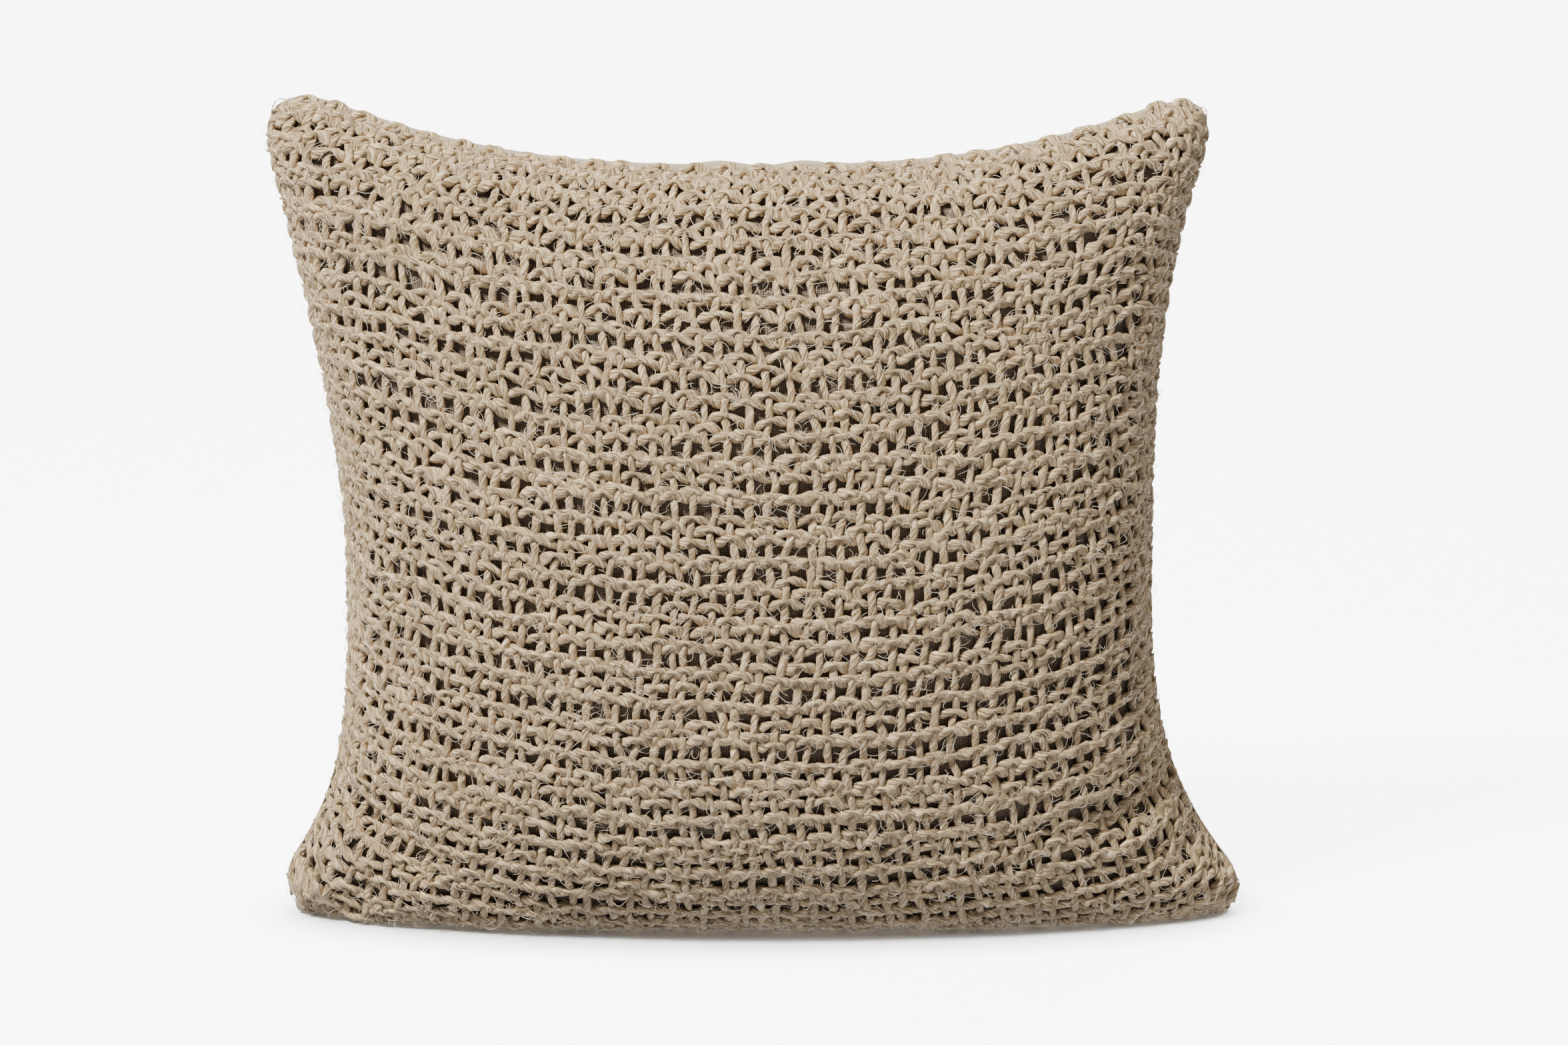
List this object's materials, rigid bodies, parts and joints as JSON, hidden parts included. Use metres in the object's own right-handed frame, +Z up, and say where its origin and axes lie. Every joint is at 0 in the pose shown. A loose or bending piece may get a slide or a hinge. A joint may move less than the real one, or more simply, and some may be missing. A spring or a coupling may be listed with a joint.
{
  "type": "ring bearer pillow",
  "caption": "Small square cushion standing on its bottom edge, open-weave front over a fine lining, plain back with a short zip, removable filled insert.",
  "frame": {"origin": "on the surface the pillow stands on, under the middle of its box", "axes": "+Z up, the open-weave front faces -Y, the zipped back faces +Y, +X to the right seen from the front"},
  "size_m": [0.2052, 0.081, 0.1767],
  "materials": {
    "open_weave": "rough hand-spun hemp yarns in an open plain weave, undyed",
    "lining_cloth": "fine plain-weave linen, dark natural, matt",
    "back_cloth": "fine plain-weave linen, natural, matt",
    "sewing_thread": "matt sewing thread",
    "zip_tape": "woven tape, fine rib, matt",
    "zip_coil": "nylon monofilament coil, satin",
    "zip_metal": "antique brass, satin, worn edges",
    "insert_cloth": "plain cotton, white, matt",
    "insert_thread": "white cotton thread",
    "filling": "loose white fibre filling"
  },
  "bodies": {
    "cushion": {"woven_front_panel": "open_weave", "front_lining": "lining_cloth", "back_panel_upper": "back_cloth", "back_panel_lower": "back_cloth", "cover_seam_stitching": "sewing_thread", "zip_tape_upper": "zip_tape", "zip_tape_lower": "zip_tape", "zip_teeth_upper": "zip_coil", "zip_teeth_lower": "zip_coil", "zip_top_stops": "zip_metal", "zip_bottom_stop": "zip_metal", "zip_stitching_upper": "sewing_thread", "zip_stitching_lower": "sewing_thread", "insert_front_cover": "insert_cloth", "insert_back_cover": "insert_cloth", "insert_seam_stitching": "insert_thread", "fibre_filling": "filling"},
    "slider": {"zip_slider": "zip_metal"},
    "pull_tab": {"zip_pull_tab": "zip_metal"}
  },
  "joints": [
    {"name": "zip_slider_run", "type": "hinge", "parent": "cushion", "child": "slider", "pos_m": [-0.003, -0.138, 0.036], "axis": [0, 0, 1], "range_deg": [0, 30.5]},
    {"name": "pull_tab_swing", "type": "hinge", "parent": "slider", "child": "pull_tab", "pos_m": [0.04419, 0.03258, 0.0355], "axis": [-0.0645, -0.2332, -0.9703], "range_deg": [0, 165]}
  ]
}
